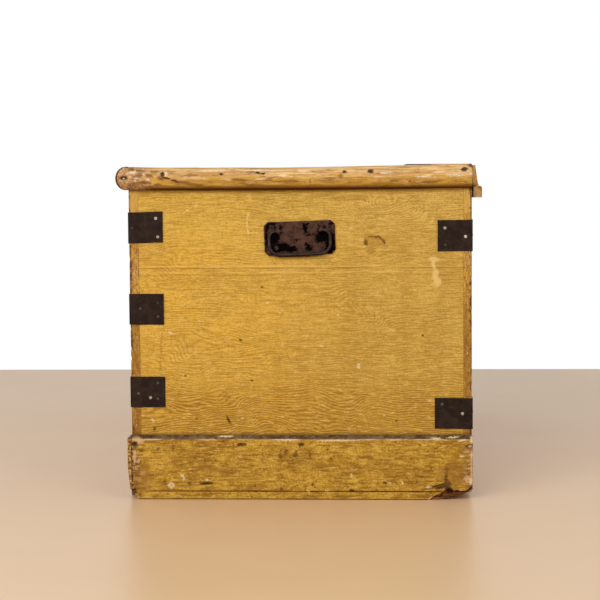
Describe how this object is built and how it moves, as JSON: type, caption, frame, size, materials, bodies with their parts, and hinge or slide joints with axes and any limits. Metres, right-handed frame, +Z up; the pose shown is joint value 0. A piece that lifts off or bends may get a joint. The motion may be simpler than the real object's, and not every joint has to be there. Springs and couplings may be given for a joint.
{
  "type": "pine trunk",
  "caption": "Painted pine trunk with a moulded hinged lid, a plinth, iron corner straps, drop handles at the ends and a box lock.",
  "frame": {"origin": "middle of the trunk's box on the floor that it stands on", "axes": "+X along the trunk's length to its right end, +Y to the back where the lid is hinged, +Z up"},
  "size_m": [0.933, 0.531, 0.4879],
  "materials": {
    "painted_pine": "ochre scumble paint with combed grain, satin, worn at the edges",
    "painted_plinth": "darker ochre scumble paint, satin, scuffed",
    "worn_moulding": "worn ochre paint over bare pine",
    "bare_pine": "bare pine, matt",
    "strap_iron": "dark oxidised sheet iron, matt",
    "handle_iron": "black japan worn to brown iron",
    "hinge_iron": "dark rusted iron",
    "lock_iron": "dark oxidised iron"
  },
  "bodies": {
    "carcase": {"front_lower_board": "painted_pine", "front_middle_board": "painted_pine", "front_upper_board": "painted_pine", "back_lower_board": "painted_pine", "back_middle_board": "painted_pine", "back_upper_board": "painted_pine", "right_end_lower_board": "painted_pine", "right_end_middle_board": "painted_pine", "right_end_upper_board": "painted_pine", "left_end_lower_board": "painted_pine", "left_end_middle_board": "painted_pine", "left_end_upper_board": "painted_pine", "base_front_board": "bare_pine", "base_middle_board": "bare_pine", "base_back_board": "bare_pine", "front_plinth": "painted_plinth", "right_plinth": "painted_plinth", "left_plinth": "painted_plinth", "front_right_lower_strap": "strap_iron", "front_right_middle_strap": "strap_iron", "front_right_upper_strap": "strap_iron", "front_left_lower_strap": "strap_iron", "front_left_middle_strap": "strap_iron", "front_left_upper_strap": "strap_iron", "back_right_lower_strap": "strap_iron", "back_right_upper_strap": "strap_iron", "back_left_lower_strap": "strap_iron", "back_left_upper_strap": "strap_iron", "back_rail": "painted_pine", "right_handle_plate": "handle_iron", "right_hinge_lower_leaf": "hinge_iron", "right_hinge_pin": "hinge_iron", "left_handle_plate": "handle_iron", "left_hinge_lower_leaf": "hinge_iron", "left_hinge_pin": "hinge_iron", "lock_plate": "lock_iron", "lock_cover": "lock_iron"},
    "lid": {"lid_front_board": "painted_pine", "lid_middle_board": "painted_pine", "lid_back_board": "painted_pine", "lid_front_moulding": "worn_moulding", "lid_right_moulding": "worn_moulding", "lid_left_moulding": "worn_moulding", "lid_back_strip": "painted_pine", "right_hinge_upper_leaf": "hinge_iron", "left_hinge_upper_leaf": "hinge_iron", "lock_link_plate": "lock_iron"},
    "right_bail": {"right_handle_bail": "handle_iron"},
    "left_bail": {"left_handle_bail": "handle_iron"},
    "bolt": {"lock_bolt": "lock_iron"}
  },
  "joints": [
    {"name": "lid_hinge", "type": "hinge", "parent": "carcase", "child": "lid", "pos_m": [0, 0.25972, 0.45805], "axis": [-1, 0, 0], "range_deg": [0, 98]},
    {"name": "right_handle_swing", "type": "hinge", "parent": "carcase", "child": "right_bail", "pos_m": [0.4551, -0.0002, 0.3926], "axis": [0, -0.9995, -0.0314], "range_deg": [0, 180]},
    {"name": "left_handle_swing", "type": "hinge", "parent": "carcase", "child": "left_bail", "pos_m": [-0.4551, -0.0002, 0.3926], "axis": [0, 1, 0], "range_deg": [0, 180]},
    {"name": "lock_bolt_slide", "type": "slide", "parent": "carcase", "child": "bolt", "axis": [1, 0, 0], "range_m": [0, 0.01]}
  ]
}
